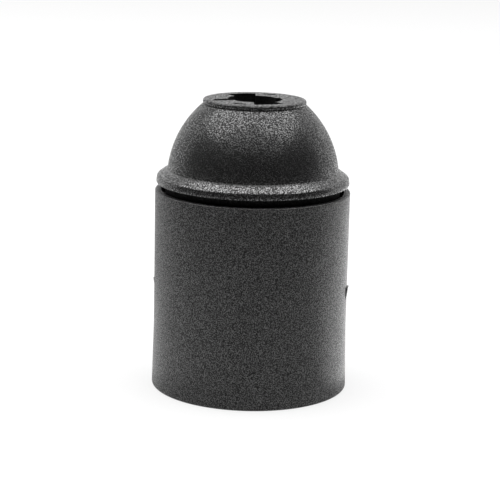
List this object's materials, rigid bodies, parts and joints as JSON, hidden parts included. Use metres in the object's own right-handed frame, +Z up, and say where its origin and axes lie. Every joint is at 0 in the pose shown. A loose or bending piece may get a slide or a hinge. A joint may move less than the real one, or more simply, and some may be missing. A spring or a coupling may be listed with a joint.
{
  "type": "lamp holder",
  "caption": "Standing lamp holder with a plain black skirt threaded inside for an E27 lamp and a domed cap with a keyed cable opening.",
  "frame": {"origin": "centre of the mouth's rim plane, on the lamp's axis", "axes": "+Z up along the lamp's axis from the mouth to the cable opening; +X through the centre contact's terminal"},
  "size_m": [0.0396, 0.0394, 0.058],
  "materials": {
    "casing": "charcoal black moulded thermoplastic with a fine spark-eroded grain",
    "carrier": "black moulded thermoplastic, plain",
    "contact": "rolled brass strip",
    "plated": "zinc-plated steel"
  },
  "bodies": {
    "casing": {"skirt": "casing"},
    "carrier": {"insert": "carrier", "centre_contact": "contact", "side_contact": "contact", "centre_rivet": "contact", "side_rivet": "contact"},
    "cap": {"dome": "casing"},
    "centre_plate": {"centre_clamp": "plated"},
    "centre_terminal": {"centre_screw": "plated"},
    "side_plate": {"side_clamp": "plated"},
    "side_terminal": {"side_screw": "plated"}
  },
  "joints": [
    {"name": "cap_turn", "type": "hinge", "parent": "casing", "child": "carrier", "pos_m": [0, 0, 0], "axis": [0, 0, 1], "range_deg": [0, 901]},
    {"name": "cap_rise", "type": "slide", "parent": "carrier", "child": "cap", "axis": [0, 0, 1], "range_m": [0, 0.00875]},
    {"name": "centre_plate_rise", "type": "slide", "parent": "carrier", "child": "centre_plate", "axis": [0, 0, 1], "range_m": [0, 0.0025]},
    {"name": "centre_screw_turn", "type": "hinge", "parent": "centre_plate", "child": "centre_terminal", "pos_m": [0.0093, 0, 0.03], "axis": [0, 0, 1], "range_deg": [0, 1801]},
    {"name": "side_plate_rise", "type": "slide", "parent": "carrier", "child": "side_plate", "axis": [0, 0, 1], "range_m": [0, 0.0025]},
    {"name": "side_screw_turn", "type": "hinge", "parent": "side_plate", "child": "side_terminal", "pos_m": [-0.0093, 0, 0.03], "axis": [0, 0, 1], "range_deg": [0, 1801]}
  ],
  "couplings": [
    {"joint": "cap_turn", "follows": "cap_rise", "rad_per_m": 1795.2},
    {"joint": "centre_screw_turn", "follows": "centre_plate_rise", "rad_per_m": 12566},
    {"joint": "side_screw_turn", "follows": "side_plate_rise", "rad_per_m": 12566}
  ]
}
